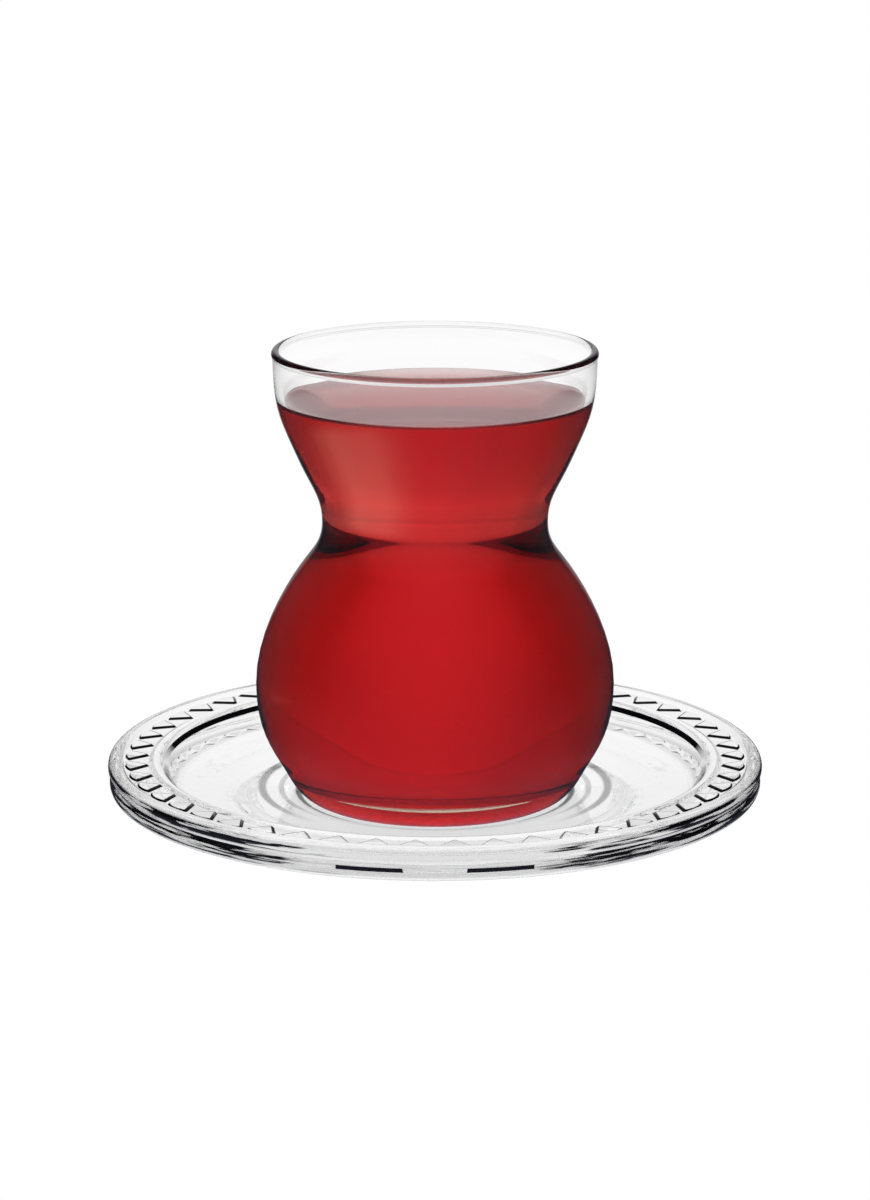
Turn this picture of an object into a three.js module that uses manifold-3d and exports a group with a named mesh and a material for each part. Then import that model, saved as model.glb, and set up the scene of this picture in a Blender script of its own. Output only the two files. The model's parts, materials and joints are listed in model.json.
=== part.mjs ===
// A waisted glass of black tea on its round saucer of pressed glass.
// Millimetres, +Z up. The origin is the middle of the saucer's foot, where it meets the table.
import * as THREE from "three";
import { mergeVertices } from "three/addons/utils/BufferGeometryUtils.js";
import Module from "manifold-3d";

// Saucer, from its foot up and from its middle out
const SAUCER_SIDES = 100;
const UNDERSIDE_Z = 1.2;
const FOOT_INNER_R = 28.6;
const FOOT_OUTER_R = 32.6;
const FOOT_FLARE = 1.4;
const SEAT_Z = 4.375;
const SEAT_R = 23.8;
const WELL_INNER_R = 26;
const WELL_INNER_Z = 5.2;
const WELL_OUTER_R = 45;
const WELL_OUTER_Z = 6.7;
const STEP_R = 48.6;
const STEP_Z = 9.87;
const RIDGE_R = 50.7;
const RIDGE_Z = 11.4;
const BAND_Z = 11;
const BAND_INNER_R = 51.6;
const BAND_OUTER_R = 56.2;
const BEAD_R = 57.4;
const BEAD_Z = 10.4;
const BEAD_RADIUS = 1.6;
const SKIRT_R = 56.9;
const SKIRT_Z = 7.6;
const SKIRT_RADIUS = 1.85;
const GROOVE_R = 58.35;

// Raised fans on the saucer's rim, each with its narrow end inwards
const FAN_COUNT = 50;
const FAN_INNER_R = 51.8;
const FAN_LENGTH = 3.4;
const FAN_TIP_WIDTH = 0.7;
const FAN_BASE_WIDTH = 6;
const FAN_BULGE = 0.8;
const FAN_RISE = 0.35;
const FAN_SLOPE = 0.3;

// Glass, from its foot up
const GLASS_SIDES = 50;
const FOOT_R = 21.6;
const PUSH_UP = 0.4;
const PUSH_UP_R = 18.8;
const BELLY_R = 32.2;
const BELLY_Z = 25;
const WAIST_R = 20.15;
const WAIST_Z = 54.7;
const LIP_R = 28.75;
const LIP_Z = 84.3;
const RIM_R = 28.95;
const RIM_Z = 85.8;
const RIM_ROUND = 0.8;
const FLOOR_Z = 6.2;
const BELLY_WALL = 1.35;
const WAIST_WALL = 1.6;
const LIP_WALL = 1.4;

// Tea, clear of the glass by a hair
const TEA_LEVEL = 76.2;
const TEA_GAP = 0.15;

// A place on an outline: where it is, the way the outline heads there in degrees from
// outwards to upwards, how far it holds that heading before and after, and the flats
// that the stretch to the next place is cut into.
function place(r, z, heading, before, after, flats) {
  return { at: new THREE.Vector2(r, z), heading, before, after, flats };
}

function along(heading) {
  const angle = THREE.MathUtils.degToRad(heading);
  return new THREE.Vector2(Math.cos(angle), Math.sin(angle));
}

function stretch(from, to) {
  return new THREE.CubicBezierCurve(
    from.at,
    from.at.clone().addScaledVector(along(from.heading), from.after),
    to.at.clone().addScaledVector(along(to.heading), -to.before),
    to.at,
  );
}

function outline(places) {
  const points = [places[0].at];
  for (let i = 1; i < places.length; i++) {
    const curve = stretch(places[i - 1], places[i]);
    points.push(...curve.getPoints(places[i - 1].flats).slice(1));
  }
  return points;
}

// How sharply a stretch turns to its left where it leaves a.
function turn(a, b, c) {
  const first = b.clone().sub(a);
  const second = c.clone().sub(b);
  return (2 * first.cross(second)) / (3 * first.length() ** 3);
}

// The same outline moved to its left by a wall for each place. What a place holds of its
// heading shrinks on the inside of a bend and grows on the outside.
function inset(places, walls) {
  return places.map((here, i) => {
    const wall = walls[i];
    let { before, after } = here;
    if (i > 0) {
      const curve = stretch(places[i - 1], here);
      before *= 1 + wall * turn(curve.v3, curve.v2, curve.v1);
    }
    if (i < places.length - 1) {
      const curve = stretch(here, places[i + 1]);
      after *= 1 - wall * turn(curve.v0, curve.v1, curve.v2);
    }
    const at = here.at.clone().addScaledVector(along(here.heading + 90), wall);
    return { at, heading: here.heading, before, after, flats: here.flats };
  });
}

function backwards(places) {
  return places.toReversed().map((here, i, all) => ({
    at: here.at,
    heading: here.heading + 180,
    before: here.after,
    after: here.before,
    flats: i < all.length - 1 ? all[i + 1].flats : here.flats,
  }));
}

function arc(r, z, radius, fromDegrees, toDegrees, flats) {
  const start = THREE.MathUtils.degToRad(fromDegrees);
  const end = THREE.MathUtils.degToRad(toDegrees);
  return new THREE.EllipseCurve(r, z, radius, radius, start, end).getPoints(flats);
}

// A lathe turns about Y: this stands it up on Z.
function turned(points, sides) {
  return new THREE.LatheGeometry(points, sides).rotateX(Math.PI / 2);
}

const wasm = await Module();
wasm.setup();

function solid(geometry) {
  const bare = geometry.clone().deleteAttribute("normal").deleteAttribute("uv");
  const merged = mergeVertices(bare, 1e-4);
  return new wasm.Manifold(
    new wasm.Mesh({
      numProp: 3,
      vertProperties: new Float32Array(merged.attributes.position.array),
      triVerts: new Uint32Array(merged.index.array),
    }),
  );
}

function geometryOf(body) {
  const mesh = body.getMesh();
  const geometry = new THREE.BufferGeometry();
  geometry.setAttribute("position", new THREE.BufferAttribute(mesh.vertProperties, 3));
  geometry.setIndex(new THREE.BufferAttribute(mesh.triVerts, 1));
  geometry.computeVertexNormals();
  return geometry;
}

function saucerOutline() {
  const point = (r, z) => new THREE.Vector2(r, z);
  return [
    point(0, UNDERSIDE_Z),
    point(FOOT_INNER_R - FOOT_FLARE, UNDERSIDE_Z),
    point(FOOT_INNER_R, 0),
    point(FOOT_OUTER_R, 0),
    ...outline([
      place(FOOT_OUTER_R + FOOT_FLARE, 1.9, 30, 0, 4, 2),
      place(WELL_OUTER_R, 3.6, 12, 3, 4, 2),
    ]),
    ...arc(SKIRT_R, SKIRT_Z, SKIRT_RADIUS, -80, 35, 4),
    point(GROOVE_R, (BEAD_Z + SKIRT_Z) / 2),
    ...arc(BEAD_R, BEAD_Z, BEAD_RADIUS, -30, 60, 3),
    ...outline([
      place(BEAD_R, BEAD_Z + BEAD_RADIUS, 180, 0, 0.6, 3),
      place(BAND_OUTER_R, BAND_Z, 255, 0.5, 0),
    ]),
    point(BAND_INNER_R, BAND_Z),
    ...outline([
      place(RIDGE_R + 0.3, RIDGE_Z - 0.1, 150, 0, 0.2, 1),
      place(RIDGE_R, RIDGE_Z, 180, 0.2, 0.9, 2),
      place(STEP_R, STEP_Z, 240, 1.2, 1.2, 3),
      place(WELL_OUTER_R, WELL_OUTER_Z, 184, 1.8, 0, 1),
    ]),
    point(WELL_INNER_R, WELL_INNER_Z),
    point(SEAT_R, SEAT_Z),
    point(0, SEAT_Z),
  ];
}

// One fan, lying on the rim's band with its root sunk in the glass.
function fan() {
  const shape = new THREE.Shape();
  shape.moveTo(-FAN_TIP_WIDTH / 2, 0);
  shape.lineTo(FAN_TIP_WIDTH / 2, 0);
  shape.lineTo(FAN_BASE_WIDTH / 2, FAN_LENGTH);
  shape.lineTo(0, FAN_LENGTH + FAN_BULGE);
  shape.lineTo(-FAN_BASE_WIDTH / 2, FAN_LENGTH);
  const geometry = new THREE.ExtrudeGeometry(shape, {
    depth: 0.2,
    steps: 1,
    bevelThickness: FAN_RISE,
    bevelSize: FAN_SLOPE,
    bevelOffset: -FAN_SLOPE,
    bevelSegments: 1,
  });
  return geometry.translate(0, FAN_INNER_R, BAND_Z - 0.2);
}

function saucerGeometry() {
  let body = solid(turned(saucerOutline(), SAUCER_SIDES));
  const pitch = (2 * Math.PI) / FAN_COUNT;
  for (let i = 0; i < FAN_COUNT; i++) {
    body = body.add(solid(fan().rotateZ((i + 0.5) * pitch)));
  }
  return geometryOf(body);
}

// The outside of the glass from its foot to just under the lip.
const outside = [
  place(FOOT_R, SEAT_Z, 0, 0, 2.2, 4),
  place(26.7, 8.6, 62, 2.6, 5.5, 4),
  place(BELLY_R, BELLY_Z, 90, 8.8, 9.1, 5),
  place(23.1, 47.7, 128, 5.3, 2.9, 3),
  place(WAIST_R, WAIST_Z, 90, 3.2, 4.6, 3),
  place(24.2, 66, 66, 5, 9.7, 3),
  place(LIP_R, LIP_Z, 88, 9, 0.3, 1),
];
const walls = [0, 0, BELLY_WALL, (BELLY_WALL + WAIST_WALL) / 2, WAIST_WALL, WAIST_WALL, LIP_WALL];

// The bore from the middle of its floor up its side, held a gap clear of the glass.
function bore(gap) {
  const side = inset(
    outside,
    walls.map((wall) => wall + gap),
  ).slice(2);
  side[0].before = 18;
  return [place(0, FLOOR_Z + gap, 0, 0, 24, 6), ...side];
}

function glassGeometry() {
  const rimCentre = RIM_R - RIM_ROUND;
  const quarter = 0.55 * RIM_ROUND;
  const inner = rimCentre - RIM_ROUND + 0.08;
  const rim = [
    place(RIM_R, RIM_Z - RIM_ROUND, 90, 0.3, quarter, 2),
    place(rimCentre, RIM_Z, 180, quarter, quarter, 2),
    place(inner, RIM_Z - RIM_ROUND, 270, quarter, 0.3, 1),
  ];
  const points = outline([
    place(0, SEAT_Z + PUSH_UP, 0, 0, 8, 2),
    place(PUSH_UP_R, SEAT_Z, -6, 6, 0, 1),
  ]);
  points.push(...outline([...outside, ...rim, ...backwards(bore(0))]));
  return turned(points, GLASS_SIDES);
}

function teaGeometry() {
  const side = outline(bore(TEA_GAP));
  const above = side.findIndex((point) => point.y > TEA_LEVEL);
  const [low, high] = [side[above - 1], side[above]];
  const brim = low.clone().lerp(high, (TEA_LEVEL - low.y) / (high.y - low.y));
  const points = [...side.slice(0, above), brim, new THREE.Vector2(0, TEA_LEVEL)];
  return turned(points, GLASS_SIDES);
}

function piece(name, geometry, colour, roughness) {
  const material = new THREE.MeshStandardMaterial({ color: colour, roughness, metalness: 0 });
  const mesh = new THREE.Mesh(geometry, material);
  mesh.name = name;
  return mesh;
}

const served = new THREE.Group();
served.add(
  piece("saucer", saucerGeometry(), 0xf3f5f4, 0.04),
  piece("tea_glass", glassGeometry(), 0xf6f8f7, 0.03),
  piece("tea", teaGeometry(), 0xb31f24, 0.05),
);

export default served;
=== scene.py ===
import json
import math

import bpy
from mathutils import Matrix, Vector

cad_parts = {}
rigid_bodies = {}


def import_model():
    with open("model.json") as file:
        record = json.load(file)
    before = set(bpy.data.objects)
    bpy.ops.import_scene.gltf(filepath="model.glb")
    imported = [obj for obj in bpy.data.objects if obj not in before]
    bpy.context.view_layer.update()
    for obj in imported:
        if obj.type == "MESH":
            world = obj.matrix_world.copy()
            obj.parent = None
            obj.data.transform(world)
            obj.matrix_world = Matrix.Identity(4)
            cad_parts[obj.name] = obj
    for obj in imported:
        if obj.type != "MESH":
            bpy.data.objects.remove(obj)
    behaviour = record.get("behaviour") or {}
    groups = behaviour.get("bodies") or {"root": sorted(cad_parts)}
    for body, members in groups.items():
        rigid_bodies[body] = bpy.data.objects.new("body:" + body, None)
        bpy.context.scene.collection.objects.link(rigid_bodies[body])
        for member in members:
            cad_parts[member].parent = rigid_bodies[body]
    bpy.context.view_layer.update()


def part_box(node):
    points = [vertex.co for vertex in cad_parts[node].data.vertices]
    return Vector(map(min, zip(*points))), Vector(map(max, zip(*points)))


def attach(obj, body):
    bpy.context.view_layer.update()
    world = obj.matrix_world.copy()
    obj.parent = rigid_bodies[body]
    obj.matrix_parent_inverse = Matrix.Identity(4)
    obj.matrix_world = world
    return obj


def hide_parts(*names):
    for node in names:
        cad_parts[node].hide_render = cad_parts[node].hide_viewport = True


# A waisted glass of black tea on its round saucer of pressed glass.
# Outlines are worked in millimetres and made in metres. Heights and widths come from the
# frame, and the rest of each outline is set against them.
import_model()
MM = 0.001

# How far a mask reaches past the edge of what it marks, and how close points are merged
MARGIN = 0.1
MERGE = 0.002

_, saucer_high = (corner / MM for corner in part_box("saucer"))
glass_low, glass_high = (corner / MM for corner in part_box("tea_glass"))
_, tea_high = (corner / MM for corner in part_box("tea"))

# Saucer
SAUCER_R = saucer_high.x
SAUCER_TOP = saucer_high.z
SEAT_Z = glass_low.z
UNDERSIDE_Z = 1.2
FOOT_INNER_R, FOOT_OUTER_R, FOOT_FLARE = 28.6, 32.6, 1.4
SEAT_R = 23.8
WELL_INNER_R, WELL_INNER_Z = 26.0, 5.2
WELL_OUTER_R, WELL_OUTER_Z = 45.0, 6.7
STEP_R, STEP_Z = 48.6, 9.87
RIDGE_R, RIDGE_Z = 50.7, 11.4
BAND_INNER_R, BAND_OUTER_R, BAND_Z = 51.6, 56.2, SAUCER_TOP - 1.0
BEAD_RADIUS = 1.6
BEAD_R, BEAD_Z = SAUCER_R - BEAD_RADIUS, SAUCER_TOP - BEAD_RADIUS
SKIRT_R, SKIRT_Z, SKIRT_RADIUS = 56.9, 7.6, 1.85
GROOVE_R = 58.35
SAUCER_FLATS, SAUCER_SIDES, SAUCER_SMOOTH = 5, 250, 35

# Fans on the saucer's rim
FAN_COUNT = 50
FAN_INNER_R = 51.8
FAN_LENGTH, FAN_TIP_WIDTH, FAN_BASE_WIDTH, FAN_BULGE = 3.4, 0.7, 6.0, 0.8
FAN_RISE, FAN_SLOPE, FAN_ROOT = 0.35, 0.3, 0.2
FAN_BASE_STEPS, FAN_SOFTEN = 6, 0.06

# Painted shade in the saucer's glass: dark strokes that stand in for the dark that the glass
# shows by refraction. The strokes stay on the saucer in every view, where they are seen from one
# place. A turn is how far the rim has turned from that place, a tilt is the upright part of a
# normal, and a range goes from clear to dark.
DRAWN_FROM = (0, -0.6987, 0.2132)
STREAK_SCALE = (60, 60, 1500)
STREAK_RANGE = (0.35, 0.65)
WALL_TURN, WALL_STREAK, WALL_RANGE = (-0.15, 0.3), 0.6, (0.9, 1.25)
WALL_TILT = (0.75, 0.45)
WALL_INNER_R = 56.8
WALL_SHADE = 0.42
DASH_TURN, DASH_HEIGHTS = (0.0525, 0.094), (7.6 * MM, 8.3 * MM)
FAN_TURN, FAN_LINE, FAN_END_TILT = (-0.2, 0.2), 0.5, (0.85, 0.75)
STEP_TURN, STEP_HEIGHTS = (0.97, 0.75), (9.75 * MM, 10.6 * MM)

# Rings of painted shade on the well, standing in for the foot seen through the glass: inner and
# outer radius, soft edge and strength
FOOT_TURN = (0.25, 0.65)
FOOT_RINGS = [(23.9, 25.6, 0.5, 0.95), (27.2, 28.5, 0.3, 0.6), (30.2, 32.4, 0.7, 0.85)]

# Glass
BELLY_R, BELLY_Z = glass_high.y, 25.0
WAIST_R, WAIST_Z = 20.15, 54.7
RIM_Z = glass_high.z
RIM_R, RIM_ROUND = 28.95, 0.8
LIP_R, LIP_Z = 28.75, RIM_Z - 1.5
FOOT_R, PUSH_UP, PUSH_UP_R = 21.6, 0.4, 18.8
FLOOR_Z = 6.2
BELLY_WALL, WAIST_WALL, LIP_WALL = 1.35, 1.6, 1.4
FOOT_LIFT = 0.03
ROUND_HOLD = 0.55
GLASS_FLATS, GLASS_SIDES, GLASS_SMOOTH = 9, 160, 40
BORE_HOLD = 18
WET_LEAN = 0.05

# Tea
TEA_LEVEL = tea_high.z
TEA_REACH = 0.08
MENISCUS_RISE, MENISCUS_WIDTH = 1.1, 5.0
MENISCUS_LIP, MENISCUS_DIP, MENISCUS_HOLD = 0.25, 0.7, 3.0
BRIM_Z = TEA_LEVEL + MENISCUS_RISE

# The camera stands where the photograph's did.
CAMERA_ELEVATION = math.radians(13.917)
CAMERA_DISTANCE = 0.71986
CAMERA_LENS = 120.5
LOOK_AT = Vector((0, 0, 0.04006))


class Place:
    """A place on an outline: where it is, the way the outline heads there in degrees from
    outwards to upwards, and how far it holds that heading before and after."""

    def __init__(self, r, z, heading=0.0, before=0.0, after=0.0):
        self.at = Vector((r, z))
        self.heading = heading
        self.before = before
        self.after = after

    def way(self, turned=0.0):
        angle = math.radians(self.heading + turned)
        return Vector((math.cos(angle), math.sin(angle)))

    def left(self):
        return self.at - self.way() * self.before

    def right(self):
        return self.at + self.way() * self.after

    def reversed(self):
        return Place(*self.at, self.heading + 180, self.after, self.before)


def backwards(places):
    return [here.reversed() for here in reversed(places)]


def turn(a, b, c):
    """How sharply a stretch turns to its left where it leaves a."""
    first, second = b - a, c - b
    return 2 * (first.x * second.y - first.y * second.x) / (3 * first.length**3)


def inset(places, walls):
    """The same outline moved to its left by a wall for each place."""
    moved = []
    for i, (here, wall) in enumerate(zip(places, walls)):
        before, after = here.before, here.after
        if i > 0:
            before *= 1 + wall * turn(here.at, here.left(), places[i - 1].right())
        if i < len(places) - 1:
            after *= 1 - wall * turn(here.at, here.right(), places[i + 1].left())
        at = here.at + here.way(90) * wall
        moved.append(Place(*at, here.heading, before, after))
    return moved


def arc(r, z, radius, start, end, count):
    """Places round part of a circle, from one angle to another."""
    step = (end - start) / (count - 1)
    hold = 4 / 3 * math.tan(math.radians(step) / 4) * radius
    places = []
    for i in range(count):
        angle = math.radians(start + i * step)
        at = (r + radius * math.cos(angle), z + radius * math.sin(angle))
        places.append(Place(*at, math.degrees(angle) + 90, hold, hold))
    places[0].before = places[-1].after = 0
    return places


def cut_at_height(low, high, z):
    """Splits the stretch between two rising places at a height, into three places."""
    points = [low.at, low.right(), high.left(), high.at]

    def split(t):
        level = list(points)
        ends = [(level[0], level[-1])]
        while len(level) > 1:
            level = [a.lerp(b, t) for a, b in zip(level, level[1:])]
            ends.append((level[0], level[-1]))
        return ends

    under, over = 0.0, 1.0
    for _ in range(40):
        middle = (under + over) / 2
        if split(middle)[3][0].y < z:
            under = middle
        else:
            over = middle
    (start, _), (first, third), (second, fourth), (cut, _) = split(over)
    leg = fourth - second
    heading = math.degrees(math.atan2(leg.y, leg.x))
    before, after = (cut - second).length, (fourth - cut).length
    return (
        Place(*low.at, low.heading, low.before, (first - start).length),
        Place(*cut, heading, before, after),
        Place(*high.at, high.heading, (high.at - third).length, high.after),
    )


def activate(piece):
    bpy.ops.object.select_all(action="DESELECT")
    piece.select_set(True)
    bpy.context.view_layer.objects.active = piece


def turned(name, places, flats, sides):
    """Draws an outline as a curve, makes it a mesh and spins it once round the Z axis."""
    bpy.ops.object.select_all(action="DESELECT")
    bpy.ops.curve.primitive_bezier_curve_add(location=(0, 0, 0))
    piece = bpy.context.object
    piece.name = piece.data.name = name
    piece.data.dimensions = "3D"
    piece.data.resolution_u = flats
    spline = piece.data.splines[0]
    spline.bezier_points.add(len(places) - 2)
    for knot, here in zip(spline.bezier_points, places):
        knot.handle_left_type = knot.handle_right_type = "FREE"
        knot.co = Vector((here.at.x, 0, here.at.y)) * MM
        knot.handle_left = Vector((here.left().x, 0, here.left().y)) * MM
        knot.handle_right = Vector((here.right().x, 0, here.right().y)) * MM
    bpy.ops.object.convert(target="MESH")
    piece = bpy.context.object
    bpy.ops.object.mode_set(mode="EDIT")
    bpy.ops.mesh.select_all(action="SELECT")
    bpy.ops.mesh.spin(steps=sides, angle=math.tau, center=(0, 0, 0), axis=(0, 0, 1))
    bpy.ops.mesh.select_all(action="SELECT")
    bpy.ops.mesh.remove_doubles(threshold=MERGE * MM)
    bpy.ops.mesh.normals_make_consistent(inside=False)
    bpy.ops.object.mode_set(mode="OBJECT")
    return piece


def smooth(piece, degrees):
    activate(piece)
    bpy.ops.object.shade_smooth_by_angle(angle=math.radians(degrees))


# The outside of the glass from its foot to just under the lip
OUTSIDE = [
    Place(FOOT_R, SEAT_Z, 0, 0, 2.2),
    Place(26.7, 8.6, 62, 2.6, 5.5),
    Place(BELLY_R, BELLY_Z, 90, 8.8, 9.1),
    Place(23.1, 47.7, 128, 5.3, 2.9),
    Place(WAIST_R, WAIST_Z, 90, 3.2, 4.6),
    Place(24.2, 66, 66, 5, 9.7),
    Place(LIP_R, LIP_Z, 88, 9, 0.3),
]
WALLS = [0, 0, BELLY_WALL, (BELLY_WALL + WAIST_WALL) / 2, WAIST_WALL, WAIST_WALL, LIP_WALL]


def bore(gap):
    """The bore from the middle of its floor up its side, held a gap clear of the glass."""
    side = inset(OUTSIDE, [wall + gap for wall in WALLS])[2:]
    side[0].before = BORE_HOLD
    return [Place(0, FLOOR_Z + gap, 0, 0, 24), *side]


def split_at_brim(side):
    """A bore with a place of its own where the tea's edge climbs the glass."""
    low = max(i for i, here in enumerate(side) if here.at.y < BRIM_Z)
    high = side[low + 1]
    shorter, brim, rest = cut_at_height(side[low], high, BRIM_Z)
    return side[:low] + [shorter, brim, rest] + side[low + 2 :], low + 1


def make_glass():
    rim_centre = RIM_R - RIM_ROUND
    quarter = ROUND_HOLD * RIM_ROUND
    inner = rim_centre - RIM_ROUND + 0.08
    rim = [
        Place(RIM_R, RIM_Z - RIM_ROUND, 90, 0.3, quarter),
        Place(rim_centre, RIM_Z, 180, quarter, quarter),
        Place(inner, RIM_Z - RIM_ROUND, 270, quarter, 0.3),
    ]
    base = [
        Place(0, SEAT_Z + PUSH_UP, 0, 0, 8),
        Place(PUSH_UP_R, SEAT_Z, -6, 6, 0),
    ]
    inside, _ = split_at_brim(bore(0))
    places = base + OUTSIDE + rim + backwards(inside)
    glass = turned("drinking_glass", places, GLASS_FLATS, GLASS_SIDES)
    for vertex in glass.data.vertices:
        if vertex.co.z < (SEAT_Z + FOOT_LIFT) * MM:
            vertex.co.z = (SEAT_Z + FOOT_LIFT) * MM
    smooth(glass, GLASS_SMOOTH)
    return glass


def wet(face):
    """True for a face of the glass that the tea touches."""
    outwards = Vector((face.center.x, face.center.y, 0)).normalized()
    faces_in = face.normal.dot(outwards) < WET_LEAN
    return faces_in and (FLOOR_Z - MARGIN) * MM < face.center.z < BRIM_Z * MM


def make_tea():
    side, brim = split_at_brim(bore(-TEA_REACH))
    edge = side[brim]
    edge.after = 0
    curl = Place(edge.at.x - MENISCUS_LIP, BRIM_Z, 250, 0, MENISCUS_DIP)
    flat = Place(edge.at.x - MENISCUS_WIDTH, TEA_LEVEL, 180, MENISCUS_HOLD, 0)
    places = side[: brim + 1] + [curl, flat, Place(0, TEA_LEVEL, 180)]
    tea = turned("black_tea", places, GLASS_FLATS, GLASS_SIDES)
    smooth(tea, GLASS_SMOOTH)
    return tea


def saucer_outline():
    def corner(r, z):
        return Place(r, z)

    return [
        corner(0, UNDERSIDE_Z),
        corner(FOOT_INNER_R - FOOT_FLARE, UNDERSIDE_Z),
        corner(FOOT_INNER_R, 0),
        corner(FOOT_OUTER_R, 0),
        Place(FOOT_OUTER_R + FOOT_FLARE, 1.9, 30, 0, 4),
        Place(WELL_OUTER_R, 3.6, 12, 3, 4),
        *arc(SKIRT_R, SKIRT_Z, SKIRT_RADIUS, -80, 35, 4),
        corner(GROOVE_R, (BEAD_Z + SKIRT_Z) / 2),
        *arc(BEAD_R, BEAD_Z, BEAD_RADIUS, -30, 90, 4),
        Place(BAND_OUTER_R, BAND_Z, 255, 0.5, 0),
        corner(BAND_INNER_R, BAND_Z),
        Place(RIDGE_R + 0.3, RIDGE_Z - 0.1, 150, 0, 0.2),
        Place(RIDGE_R, RIDGE_Z, 180, 0.2, 0.9),
        Place(STEP_R, STEP_Z, 240, 1.2, 1.2),
        Place(WELL_OUTER_R, WELL_OUTER_Z, 184, 1.8, 0),
        corner(WELL_INNER_R, WELL_INNER_Z),
        corner(SEAT_R, SEAT_Z),
        corner(0, SEAT_Z),
    ]


def make_fan():
    """One raised fan, its narrow end inwards, with sloping sides and softened edges."""
    half_tip, half_base = FAN_TIP_WIDTH / 2, FAN_BASE_WIDTH / 2
    outer = FAN_INNER_R + FAN_LENGTH
    corners = [(-half_tip, FAN_INNER_R), (half_tip, FAN_INNER_R)]
    for i in range(FAN_BASE_STEPS + 1):
        across = 1 - 2 * i / FAN_BASE_STEPS
        corners.append((half_base * across, outer + FAN_BULGE * (1 - across**2)))
    bpy.ops.object.select_all(action="DESELECT")
    bpy.ops.mesh.primitive_circle_add(vertices=len(corners), fill_type="NGON", radius=1)
    fan = bpy.context.object
    for vertex, (x, y) in zip(fan.data.vertices, corners):
        vertex.co = Vector((x, y, BAND_Z - FAN_ROOT)) * MM
    bpy.ops.object.mode_set(mode="EDIT")
    bpy.ops.mesh.select_all(action="SELECT")
    bpy.ops.mesh.extrude_region_move(TRANSFORM_OT_translate={"value": (0, 0, FAN_ROOT * MM)})
    bpy.ops.mesh.inset(thickness=FAN_SLOPE * MM, depth=FAN_RISE * MM)
    bpy.ops.object.mode_set(mode="OBJECT")
    top = [
        edge.index
        for edge in fan.data.edges
        if all(fan.data.vertices[i].co.z > (BAND_Z + FAN_RISE / 2) * MM for i in edge.vertices)
    ]
    bpy.ops.object.mode_set(mode="EDIT")
    bpy.ops.mesh.select_all(action="DESELECT")
    bpy.ops.object.mode_set(mode="OBJECT")
    for i in top:
        fan.data.edges[i].select = True
    bpy.ops.object.mode_set(mode="EDIT")
    bpy.ops.mesh.bevel(offset=FAN_SOFTEN * MM, segments=2, affect="EDGES")
    bpy.ops.mesh.select_all(action="SELECT")
    bpy.ops.mesh.normals_make_consistent(inside=False)
    bpy.ops.object.mode_set(mode="OBJECT")
    return fan


def make_saucer():
    """The turned saucer, with the fan copied round its rim and joined on."""
    saucer = turned("pressed_saucer", saucer_outline(), SAUCER_FLATS, SAUCER_SIDES)
    fans = make_fan()
    for i in range(1, FAN_COUNT):
        copy = fans.copy()
        copy.data = fans.data.copy()
        copy.data.transform(Matrix.Rotation((i + 0.5) * math.tau / FAN_COUNT, 4, "Z"))
        bpy.context.scene.collection.objects.link(copy)
        copy.name = "fan_%02d" % i
    fans.data.transform(Matrix.Rotation(0.5 * math.tau / FAN_COUNT, 4, "Z"))
    activate(fans)
    for copy in bpy.data.objects:
        if copy.name.startswith("fan_"):
            copy.select_set(True)
    bpy.ops.object.join()
    activate(saucer)
    union = saucer.modifiers.new("fans", "BOOLEAN")
    union.operation = "UNION"
    union.solver = "MANIFOLD"
    union.object = fans
    bpy.ops.object.modifier_apply(modifier="fans")
    bpy.data.objects.remove(fans)
    smooth(saucer, SAUCER_SMOOTH)
    return saucer


# How wide the ripples of worked glass are and how deep, in metres
BLOWN_RIPPLE = (0.02, 0.02 * MM)
PRESSED_RIPPLE = (0.005, 0.04 * MM)

# Surfaces that a ray has crossed once it is through the tea: to a piece of glass, to the stage
THROUGH_THE_TEA, STAGE_PAST_THE_TEA = 5.5, 4.5

# The outside of the drinking glass: how far its faces point outwards or down, and the painted light
# that it glows with in a mirror and through glass
OUTWARDS, DOWNWARDS = 0.1, -0.3
OUTSIDE_LIGHT = [(0.0, 0.1), (1.0, 0.85)]

# Painted shade on the tea: how it darkens as it turns away, in its belly and in its upper part,
# how it goes from the one to the other with height, and the darker colour low at its heel
BELLY_EDGE = [
    (0.0, 1.0), (0.022, 0.84), (0.0735, 0.62), (0.108, 0.53), (0.151, 0.41), (0.2045, 0.31),
    (0.281, 0.2),
]
UPPER_EDGE = [(0.0, 1.0), (0.05, 0.97), (0.112, 0.82), (0.176, 0.47), (0.28, 0.36)]
EDGE_HEIGHTS = [(0.4, 0.0), (0.7, 1.0)]
HEEL_HEIGHTS, HEEL_SHADE = (0.014, 0.0085), (0.52, 0.5, 0.36, 1)

# Painted shade where light comes into the tea: how much of its colour is left, by part of the
# way up it
INWARD_SHADE = [
    (0.11, 1.0), (0.14, 0.76), (0.19, 0.8), (0.24, 0.9), (0.3, 0.97), (0.5, 1.0), (0.6, 0.88),
    (0.645, 0.72), (0.665, 0.56), (0.709, 0.53), (0.731, 0.49), (0.758, 0.44), (0.782, 0.56),
    (0.809, 0.61), (0.834, 0.53), (0.857, 0.475), (0.93, 0.44),
]
TEA_COLOUR, TEA_DENSITY = (0.932, 0.286, 0.24, 1), 140
# A painted glow of red light on the tea's flat top, and how level a face must be to be that top
SURFACE_GLOW, TOP_TILT = (0.11, 0.012, 0.012), 0.55


def maths(tree, operation, *values):
    """One sum in a material, of sockets or plain numbers."""
    node = tree.nodes.new("ShaderNodeMath")
    node.operation = operation
    for socket, value in zip(node.inputs, values):
        if isinstance(value, (int, float)):
            socket.default_value = value
        else:
            tree.links.new(value, socket)
    return node.outputs["Value"]


def product(tree, first, *others):
    for other in others:
        first = maths(tree, "MULTIPLY", first, other)
    return first


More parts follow.
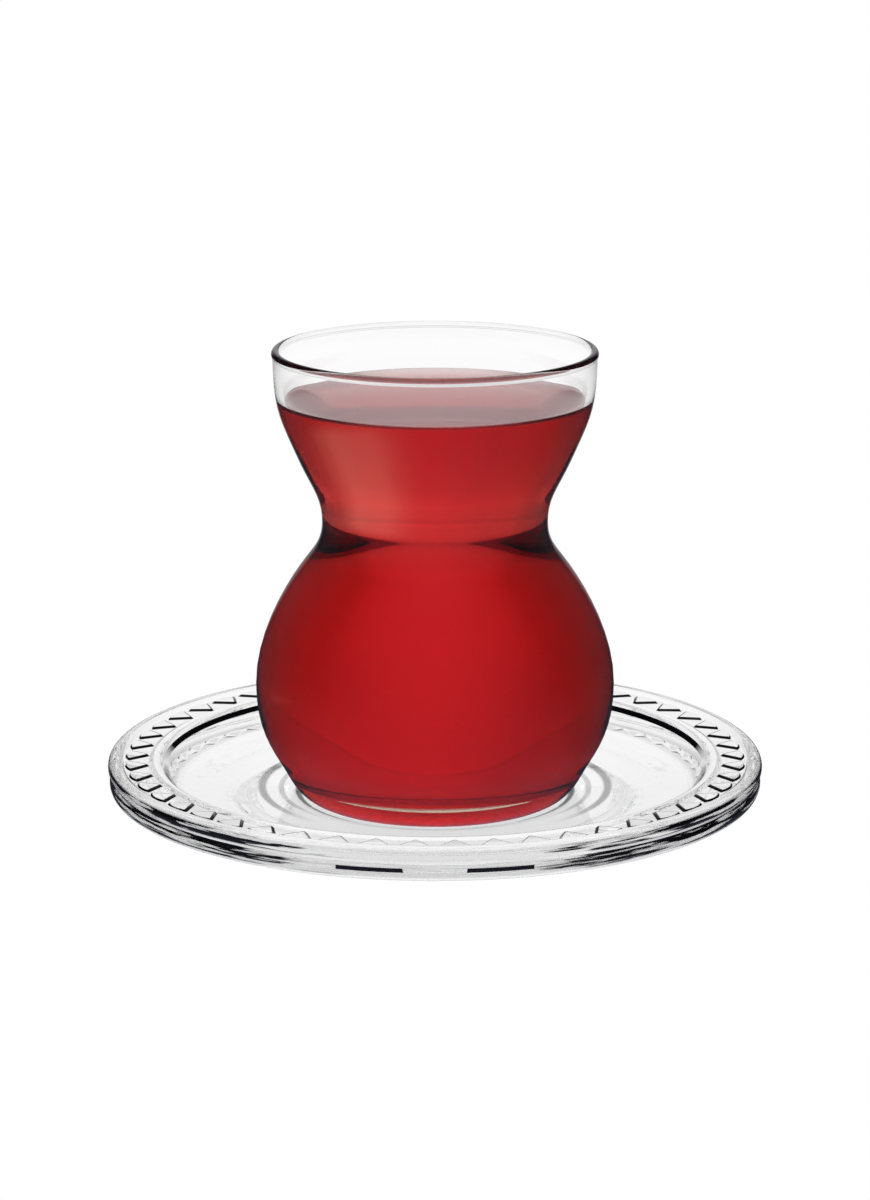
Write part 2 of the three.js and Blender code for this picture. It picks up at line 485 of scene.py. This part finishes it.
def above(tree, source, limit):
    return maths(tree, "GREATER_THAN", source, limit)


def below(tree, source, limit):
    return maths(tree, "LESS_THAN", source, limit)


def between(tree, source, low, high):
    """1 between two values and 0 elsewhere."""
    return product(tree, above(tree, source, low), below(tree, source, high))


def either(tree, first, second):
    return maths(tree, "MAXIMUM", first, second)


def to_part(tree, source):
    """A value from -1 to 1 made one from 0 to 1."""
    return maths(tree, "MULTIPLY_ADD", source, 0.5, 0.5)


def spread(tree, source, low, high):
    """0 up to the low value, 1 from the high one, and smooth between; low may be the greater."""
    node = tree.nodes.new("ShaderNodeMapRange")
    node.interpolation_type = "SMOOTHSTEP"
    node.inputs["From Min"].default_value = low
    node.inputs["From Max"].default_value = high
    tree.links.new(source, node.inputs["Value"])
    return node.outputs["Result"]


def ramp(tree, source, stops):
    """A colour ramp over greys, from (position, brightness) pairs."""
    node = tree.nodes.new("ShaderNodeValToRGB")
    elements = node.color_ramp.elements
    while len(elements) < len(stops):
        elements.new(0.5)
    for element, (position, grey) in zip(elements, stops):
        element.position = position
        element.color = (grey, grey, grey, 1)
    tree.links.new(source, node.inputs["Fac"])
    return node.outputs["Color"]


def vector_math(tree, operation, first, second=None):
    node = tree.nodes.new("ShaderNodeVectorMath")
    node.operation = operation
    tree.links.new(first, node.inputs[0])
    if isinstance(second, tuple):
        node.inputs[1].default_value = second
    elif second is not None:
        tree.links.new(second, node.inputs[1])
    return node.outputs["Value" if operation in ("LENGTH", "DOT_PRODUCT") else "Vector"]


def levelled(tree, way):
    """The way, made level and one long."""
    return vector_math(tree, "NORMALIZE", vector_math(tree, "MULTIPLY", way, (1, 1, 0)))


def blend(tree, mask, first, second):
    node = tree.nodes.new("ShaderNodeMix")
    node.data_type = "RGBA"
    tree.links.new(mask, node.inputs["Factor"])
    for name, colour in (("A", first), ("B", second)):
        if isinstance(colour, tuple):
            node.inputs[name].default_value = colour
        else:
            tree.links.new(colour, node.inputs[name])
    return node.outputs["Result"]


def parts(tree, vector):
    node = tree.nodes.new("ShaderNodeSeparateXYZ")
    tree.links.new(vector, node.inputs["Vector"])
    return node.outputs


def object_place(tree):
    return tree.nodes.new("ShaderNodeTexCoord").outputs["Object"]


def new_group(name, given, made):
    """An empty node group with one number in and one out. Also gives the socket of the first."""
    tree = bpy.data.node_groups.new(name, "ShaderNodeTree")
    tree.interface.new_socket(name=given, in_out="INPUT", socket_type="NodeSocketFloat")
    tree.interface.new_socket(name=made, in_out="OUTPUT", socket_type="NodeSocketFloat")
    return tree, tree.nodes.new("NodeGroupInput").outputs[given]


def wall_shade(tree, turned_away, place, reach, tilt):
    """Painted shade: streaks round the outer wall, and two dashes low on its front and on its back.
    """
    noise = tree.nodes.new("ShaderNodeTexNoise")
    noise.inputs["Scale"].default_value = 1
    noise.inputs["Detail"].default_value = 3
    tree.links.new(vector_math(tree, "MULTIPLY", place, STREAK_SCALE), noise.inputs["Vector"])
    streaks = product(tree, spread(tree, noise.outputs["Fac"], *STREAK_RANGE), WALL_STREAK)
    dark = maths(tree, "ADD", streaks, spread(tree, turned_away, *WALL_TURN))
    dark = spread(tree, dark, *WALL_RANGE)
    low_line = between(tree, parts(tree, place)["Z"], *DASH_HEIGHTS)
    dashes = product(tree, between(tree, turned_away, *DASH_TURN), low_line)
    dark = either(tree, either(tree, dark, dashes), WALL_SHADE)
    upright = spread(tree, tilt, *WALL_TILT)
    return product(tree, dark, upright, above(tree, reach, WALL_INNER_R * MM))


def fan_sides(tree, spot, reach):
    """A line of painted shade down each side of every fan's top."""
    pitch = math.tau / FAN_COUNT
    angle = maths(tree, "ARCTAN2", spot["Y"], spot["X"])
    beside = maths(tree, "PINGPONG", maths(tree, "ADD", angle, -math.pi / 2), pitch / 2)
    beside = product(tree, maths(tree, "SUBTRACT", pitch / 2, beside), reach)
    taper = (FAN_BASE_WIDTH - FAN_TIP_WIDTH) / FAN_LENGTH / 2
    half = product(tree, maths(tree, "SUBTRACT", reach, FAN_INNER_R * MM), taper)
    half = maths(tree, "ADD", half, (FAN_TIP_WIDTH / 2 - FAN_SLOPE) * MM)
    off = maths(tree, "ABSOLUTE", maths(tree, "SUBTRACT", beside, half))
    line = spread(tree, off, FAN_LINE * MM, 0.6 * FAN_LINE * MM)
    ends = ((FAN_INNER_R - MARGIN) * MM, (FAN_INNER_R + FAN_LENGTH) * MM)
    return product(tree, line, between(tree, reach, *ends))


def fan_shade(tree, turned_away, spot, reach, tilt):
    """Painted shade in lines down the sides of the fans and along their broad ends."""
    broad_end = (
        (FAN_INNER_R + FAN_LENGTH - MARGIN) * MM,
        (BAND_OUTER_R - MARGIN / 2) * MM,
    )
    ends = product(tree, spread(tree, tilt, *FAN_END_TILT), between(tree, reach, *broad_end))
    lines = either(tree, ends, fan_sides(tree, spot, reach))
    raised = above(tree, spot["Z"], (BAND_Z - MARGIN / 2) * MM)
    return product(tree, lines, spread(tree, turned_away, *FAN_TURN), raised)


def foot_shade(tree, turned_away, spot, reach):
    """Rings of painted shade on the well, where the foot under it shows through."""
    on_top = above(tree, spot["Z"], (SEAT_Z - 2 * MARGIN) * MM)
    seen = product(tree, spread(tree, turned_away, *FOOT_TURN), on_top)
    shade = 0.0
    for inner, outer, soft, strength in FOOT_RINGS:
        inside = spread(tree, reach, inner * MM, (inner + soft) * MM)
        ring = product(tree, inside, spread(tree, reach, outer * MM, (outer - soft) * MM))
        shade = either(tree, shade, product(tree, ring, seen, strength))
    return shade


def rim_shade():
    """Painted shade in the pressed glass: its outer wall where that turns away, the edges of the
    fans, the top of the inner step, and the foot's rings."""
    tree, turned_away = new_group("rim_shade", "Turned", "Shade")
    place = object_place(tree)
    spot = parts(tree, place)
    reach = vector_math(tree, "LENGTH", vector_math(tree, "MULTIPLY", place, (1, 1, 0)))
    normal = tree.nodes.new("ShaderNodeNewGeometry").outputs["Normal"]
    tilt = maths(tree, "ABSOLUTE", parts(tree, normal)["Z"])
    step = product(tree, spread(tree, turned_away, *STEP_TURN), below(tree, reach, RIDGE_R * MM))
    step = product(tree, step, between(tree, spot["Z"], *STEP_HEIGHTS))
    shade = either(tree, step, wall_shade(tree, turned_away, place, reach, tilt))
    shade = either(tree, shade, fan_shade(tree, turned_away, spot, reach, tilt))
    shade = either(tree, shade, foot_shade(tree, turned_away, spot, reach))
    tree.links.new(shade, tree.nodes.new("NodeGroupOutput").inputs["Shade"])
    return tree


def glass_ripple():
    """The faint unevenness of worked glass. Size is how wide its swells are."""
    tree, size = new_group("glass_ripple", "Size", "Height")
    swell = tree.nodes.new("ShaderNodeTexNoise")
    swell.inputs["Detail"].default_value = 1
    tree.links.new(object_place(tree), swell.inputs["Vector"])
    tree.links.new(maths(tree, "POWER", size, -1), swell.inputs["Scale"])
    tree.links.new(swell.outputs["Fac"], tree.nodes.new("NodeGroupOutput").inputs["Height"])
    return tree


def clear_glass(name, size, depth):
    """Clear glass whose ripples have a size and a depth."""
    material = bpy.data.materials.new(name)
    material.use_nodes = True
    tree = material.node_tree
    shader = tree.nodes["Principled BSDF"]
    shader.inputs["Base Color"].default_value = (1, 1, 1, 1)
    shader.inputs["Roughness"].default_value = 0.0
    shader.inputs["IOR"].default_value = 1.5
    shader.inputs["Transmission Weight"].default_value = 1.0
    ripple = tree.nodes.new("ShaderNodeGroup")
    ripple.node_tree = bpy.data.node_groups.get("glass_ripple") or glass_ripple()
    ripple.inputs["Size"].default_value = size
    bump = tree.nodes.new("ShaderNodeBump")
    bump.inputs["Distance"].default_value = depth
    tree.links.new(ripple.outputs["Height"], bump.inputs["Height"])
    tree.links.new(bump.outputs["Normal"], shader.inputs["Normal"])
    return material, tree, shader


def pressed_glass():
    """The saucer's glass, which the tea and the drinking glass do not show again inside them."""
    material, tree, shader = clear_glass("glass_pressed", *PRESSED_RIPPLE)
    # Painted shade: the strokes of rim_shade darken the glass's own colour, on the front of its
    # faces
    shade = tree.nodes.new("ShaderNodeGroup")
    shade.node_tree = rim_shade()
    place = object_place(tree)
    aim = vector_math(tree, "NORMALIZE", vector_math(tree, "SUBTRACT", place, DRAWN_FROM))
    facing = vector_math(tree, "DOT_PRODUCT", aim, levelled(tree, place))
    turned_away = maths(tree, "SUBTRACT", 1, maths(tree, "ABSOLUTE", facing))
    tree.links.new(turned_away, shade.inputs["Turned"])
    surface = tree.nodes.new("ShaderNodeNewGeometry")
    front = below(tree, surface.outputs["Backfacing"], 0.5)
    shaded = product(tree, shade.outputs["Shade"], front)
    tree.links.new(ramp(tree, shaded, [(0.0, 1.0), (1.0, 0.0)]), shader.inputs["Base Color"])

    path = tree.nodes.new("ShaderNodeLightPath")
    crossed = path.outputs["Transmission Depth"]
    bounced = above(tree, path.outputs["Glossy Depth"], 0.5)
    mirrored = product(tree, below(tree, crossed, 0.5), bounced)
    mix = tree.nodes.new("ShaderNodeMixShader")
    tree.links.new(either(tree, above(tree, crossed, THROUGH_THE_TEA), mirrored), mix.inputs["Fac"])
    tree.links.new(shader.outputs["BSDF"], mix.inputs[1])
    clear = tree.nodes.new("ShaderNodeBsdfTransparent")
    tree.links.new(clear.outputs["BSDF"], mix.inputs[2])
    tree.links.new(mix.outputs["Shader"], tree.nodes["Material Output"].inputs["Surface"])
    return material


def drinking_glass():
    """Clear glass whose outside the saucer shows as painted light, a plain glow, not as tea."""
    material, tree, shader = clear_glass("glass_clear", *BLOWN_RIPPLE)
    path = tree.nodes.new("ShaderNodeLightPath")
    crossed = above(tree, path.outputs["Transmission Depth"], 0.5)
    bounced = above(tree, path.outputs["Glossy Depth"], 0.5)
    not_through = below(tree, path.outputs["Transmission Depth"], THROUGH_THE_TEA)
    surface = tree.nodes.new("ShaderNodeNewGeometry")
    normal = surface.outputs["Normal"]
    outwards = vector_math(tree, "DOT_PRODUCT", normal, levelled(tree, object_place(tree)))
    beneath = below(tree, parts(tree, normal)["Z"], DOWNWARDS)
    outside = either(tree, above(tree, outwards, OUTWARDS), beneath)
    front = below(tree, surface.outputs["Backfacing"], 0.5)
    again = product(tree, either(tree, crossed, bounced), outside, not_through, front)
    # Painted light: for rays off or through glass, the outside turns black and glows instead
    tree.links.new(ramp(tree, again, [(0.0, 1.0), (1.0, 0.0)]), shader.inputs["Base Color"])
    light = vector_math(tree, "MULTIPLY", ramp(tree, crossed, OUTSIDE_LIGHT), again)
    tree.links.new(light, shader.inputs["Emission Color"])
    shader.inputs["Emission Strength"].default_value = 1
    return material


def wet_glass():
    """Glass against the tea, where almost nothing is mirrored."""
    material, _, shader = clear_glass("glass_wetted", *BLOWN_RIPPLE)
    shader.inputs["Specular Tint"].default_value = (0, 0, 0, 1)
    return material


def painted_tea_shade(tree, surface, height):
    """Painted shade on the tea: it darkens as it turns away and low at its heel, and it darkens by
    height where light comes into it.
    """
    weight = tree.nodes.new("ShaderNodeLayerWeight")
    tree.links.new(levelled(tree, surface.outputs["Normal"]), weight.inputs["Normal"])
    belly = ramp(tree, weight.outputs["Facing"], BELLY_EDGE)
    upper = ramp(tree, weight.outputs["Facing"], UPPER_EDGE)
    part_up = product(tree, height, 1 / (TEA_LEVEL * MM))
    shade_colour = blend(tree, ramp(tree, part_up, EDGE_HEIGHTS), belly, upper)
    shade_colour = blend(tree, spread(tree, height, *HEEL_HEIGHTS), shade_colour, HEEL_SHADE)
    by_height = vector_math(tree, "MULTIPLY", shade_colour, ramp(tree, part_up, INWARD_SHADE))
    return blend(tree, below(tree, surface.outputs["Backfacing"], 0.5), shade_colour, by_height)


def tea_liquid():
    material = bpy.data.materials.new("tea_liquid")
    material.use_nodes = True
    tree = material.node_tree
    shader = tree.nodes["Principled BSDF"]
    shader.inputs["Roughness"].default_value = 0.0
    shader.inputs["IOR"].default_value = 1.333
    shader.inputs["Transmission Weight"].default_value = 1.0
    surface = tree.nodes.new("ShaderNodeNewGeometry")
    height = parts(tree, object_place(tree))["Z"]
    # Painted shade: the tea's colour darkens at its edges, at its heel and by height
    tree.links.new(painted_tea_shade(tree, surface, height), shader.inputs["Base Color"])
    tilt = maths(tree, "ABSOLUTE", parts(tree, surface.outputs["Normal"])["Z"])
    near_top = above(tree, height, (TEA_LEVEL - MARGIN) * MM)
    top = product(tree, near_top, above(tree, tilt, TOP_TILT))
    tree.links.new(top, shader.inputs["Specular Tint"])
    # Painted light: the tea's flat top glows faintly red
    glow = vector_math(tree, "MULTIPLY", top, SURFACE_GLOW)
    tree.links.new(glow, shader.inputs["Emission Color"])
    shader.inputs["Emission Strength"].default_value = 1
    absorb = tree.nodes.new("ShaderNodeVolumeAbsorption")
    absorb.inputs["Color"].default_value = TEA_COLOUR
    absorb.inputs["Density"].default_value = TEA_DENSITY
    tree.links.new(absorb.outputs["Volume"], tree.nodes["Material Output"].inputs["Volume"])
    return material


def finish(piece, materials, node):
    piece.data.materials.clear()
    for material in materials:
        piece.data.materials.append(material)
    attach(piece, "root")
    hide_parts(node)


# Brightness of the stage: by distance from the middle of the floor in metres, by height in the
# room from straight down to straight up, and by how near a way lies to an aim
BRIGHTEST = 2.6
FLOOR_THROUGH = [(0.0, 1.0), (0.5, 1.0), (0.9, 0.7)]
FLOOR_BEYOND = [(0.0, 1.2), (0.3, 1.25), (0.6, 1.36), (0.9, 1.0)]
ROOM_THROUGH = [(0.0, 0.95), (0.54, 0.95), (0.58, 0.76), (0.7, 0.76), (0.8, 0.95)]
ROOM_BEYOND = [(0.0, 1.15), (0.56, 1.15), (0.64, 1.4), (0.7, 2.6), (1.0, 2.6)]
BEYOND_SIDE = [
    (0.0, 0.75 * BRIGHTEST), (0.4, 0.8 * BRIGHTEST), (0.5, 0.97 * BRIGHTEST), (0.6, BRIGHTEST),
]
FRONT, LEFT, RIGHT = (0, -1, 0), (-0.9, -0.43, 0), (1, 0, 0)
FRONT_THROUGH = [(0.5, BRIGHTEST), (0.6, 0.6 * BRIGHTEST)]
FRONT_MIRRORED = [(0.0, 0.02), (0.5, 0.06), (0.8, 0.2), (1.0, 0.28)]
BACK_MIRRORED = [(0.0, 0.6), (0.015, 0.3), (0.04, 0.0)]
LEFT_MIRRORED = [(0.78, 0.0), (0.86, 0.12), (0.93, 0.5), (0.98, 1.1)]
LEFT_HEIGHTS = [(0.93, 0.0), (0.99, 0.6 * BRIGHTEST)]
FRONT_COLOUR = (0.95, 0.95, 1.35)
LEFT_COLOUR = (1.0, 0.78, 0.58)

# Where the light at the left shows on the floor: from how far out, and for light that comes
# from how far up, as a square
LEFT_START, LEFT_REACH, LEFT_FALLS = 0.03, (0.2, 0.11), (0.05**2, 0.06**2)
FLOOR_SIZE, FLOOR_DROP = 8, 0.0001


def lit(tree, source, stops):
    """A ramp in the stage's own brightness, which goes up to BRIGHTEST."""
    return ramp(tree, source, [(position, value / BRIGHTEST) for position, value in stops])


def towards(tree, way, aim, stops):
    """Brightness by how near a way lies to an aim: 0 is straight away from it, 1 straight at it."""
    near = vector_math(tree, "DOT_PRODUCT", levelled(tree, way), aim)
    return lit(tree, to_part(tree, near), stops)


def dimmed(tree, light, *others):
    for other in others:
        light = vector_math(tree, "MULTIPLY", light, other)
    return light


def mirrored_light(tree, way, left_part):
    """What surfaces mirror: a cool light from the front, a warm one from the left where its part
    reaches, and a plain one from behind."""
    front = dimmed(tree, towards(tree, way, FRONT, FRONT_MIRRORED), FRONT_COLOUR)
    left = dimmed(tree, towards(tree, way, LEFT, LEFT_MIRRORED), LEFT_COLOUR, left_part)
    both = vector_math(tree, "ADD", front, left)
    return vector_math(tree, "ADD", both, towards(tree, way, FRONT, BACK_MIRRORED))


def by_ray(tree, mirrored, through, beyond):
    """Studio white to the camera, and other brightnesses to light that a surface mirrors, that
    comes through clear glass and that comes through the tea."""
    path = tree.nodes.new("ShaderNodeLightPath")
    crossed = path.outputs["Transmission Depth"]
    white = (1 / BRIGHTEST, 1 / BRIGHTEST, 1 / BRIGHTEST, 1)
    colour = blend(tree, above(tree, crossed, 0.5), mirrored, through)
    colour = blend(tree, above(tree, crossed, STAGE_PAST_THE_TEA), colour, beyond)
    return blend(tree, path.outputs["Is Camera Ray"], colour, white)


def left_on_floor(tree, reach):
    """Where the light at the left shows on the floor. The ray's length and the distance along
    the floor tell how high the ray came from."""
    length = tree.nodes.new("ShaderNodeLightPath").outputs["Ray Length"]
    sideways = maths(tree, "SUBTRACT", reach, LEFT_START)
    fallen = product(tree, length, length)
    fallen = maths(tree, "SUBTRACT", fallen, product(tree, sideways, sideways))
    return product(tree, spread(tree, fallen, *LEFT_FALLS), spread(tree, reach, *LEFT_REACH))


def make_floor():
    bpy.ops.object.select_all(action="DESELECT")
    bpy.ops.mesh.primitive_plane_add(size=FLOOR_SIZE, location=(0, 0, -FLOOR_DROP))
    floor = bpy.context.object
    floor.name = "floor"
    material = bpy.data.materials.new("pale_floor")
    material.use_nodes = True
    tree = material.node_tree
    tree.nodes.remove(tree.nodes["Principled BSDF"])
    place = object_place(tree)
    reach = vector_math(tree, "LENGTH", place)
    beyond = lit(tree, reach, FLOOR_BEYOND)
    beyond = dimmed(tree, beyond, towards(tree, place, RIGHT, BEYOND_SIDE))
    mirrored = mirrored_light(tree, place, left_on_floor(tree, reach))
    light = by_ray(tree, mirrored, lit(tree, reach, FLOOR_THROUGH), beyond)
    glow = tree.nodes.new("ShaderNodeEmission")
    glow.inputs["Strength"].default_value = BRIGHTEST
    tree.links.new(light, glow.inputs["Color"])
    tree.links.new(glow.outputs["Emission"], tree.nodes["Material Output"].inputs["Surface"])
    floor.data.materials.append(material)


def make_room():
    world = bpy.data.worlds.new("studio")
    world.use_nodes = True
    bpy.context.scene.world = world
    tree = world.node_tree
    way = tree.nodes.new("ShaderNodeTexCoord").outputs["Generated"]
    height = to_part(tree, parts(tree, way)["Z"])
    through = lit(tree, height, ROOM_THROUGH)
    through = dimmed(tree, through, towards(tree, way, FRONT, FRONT_THROUGH))
    beyond = lit(tree, height, ROOM_BEYOND)
    beyond = dimmed(tree, beyond, towards(tree, way, RIGHT, BEYOND_SIDE))
    mirrored = mirrored_light(tree, way, lit(tree, height, LEFT_HEIGHTS))
    back = tree.nodes["Background"]
    back.inputs["Strength"].default_value = BRIGHTEST
    tree.links.new(by_ray(tree, mirrored, through, beyond), back.inputs["Color"])


def make_camera():
    data = bpy.data.cameras.new("camera")
    data.lens = CAMERA_LENS
    data.sensor_width = 36
    data.clip_start, data.clip_end = 0.01, 20
    camera = bpy.data.objects.new("camera", data)
    bpy.context.scene.collection.objects.link(camera)
    back = Vector((0, -math.cos(CAMERA_ELEVATION), math.sin(CAMERA_ELEVATION)))
    camera.location = LOOK_AT + back * CAMERA_DISTANCE
    camera.rotation_euler = (math.pi / 2 - CAMERA_ELEVATION, 0, 0)
    bpy.context.scene.camera = camera


make_camera()
glass = make_glass()
finish(glass, [drinking_glass(), wet_glass()], "tea_glass")
for face in glass.data.polygons:
    face.material_index = int(wet(face))
finish(make_tea(), [tea_liquid()], "tea")
finish(make_saucer(), [pressed_glass()], "saucer")
make_floor()
make_room()

scene = bpy.context.scene
scene.view_settings.view_transform = "Standard"
scene.cycles.max_bounces = 48
scene.cycles.transmission_bounces = 32
scene.cycles.glossy_bounces = 24
scene.cycles.transparent_max_bounces = 16
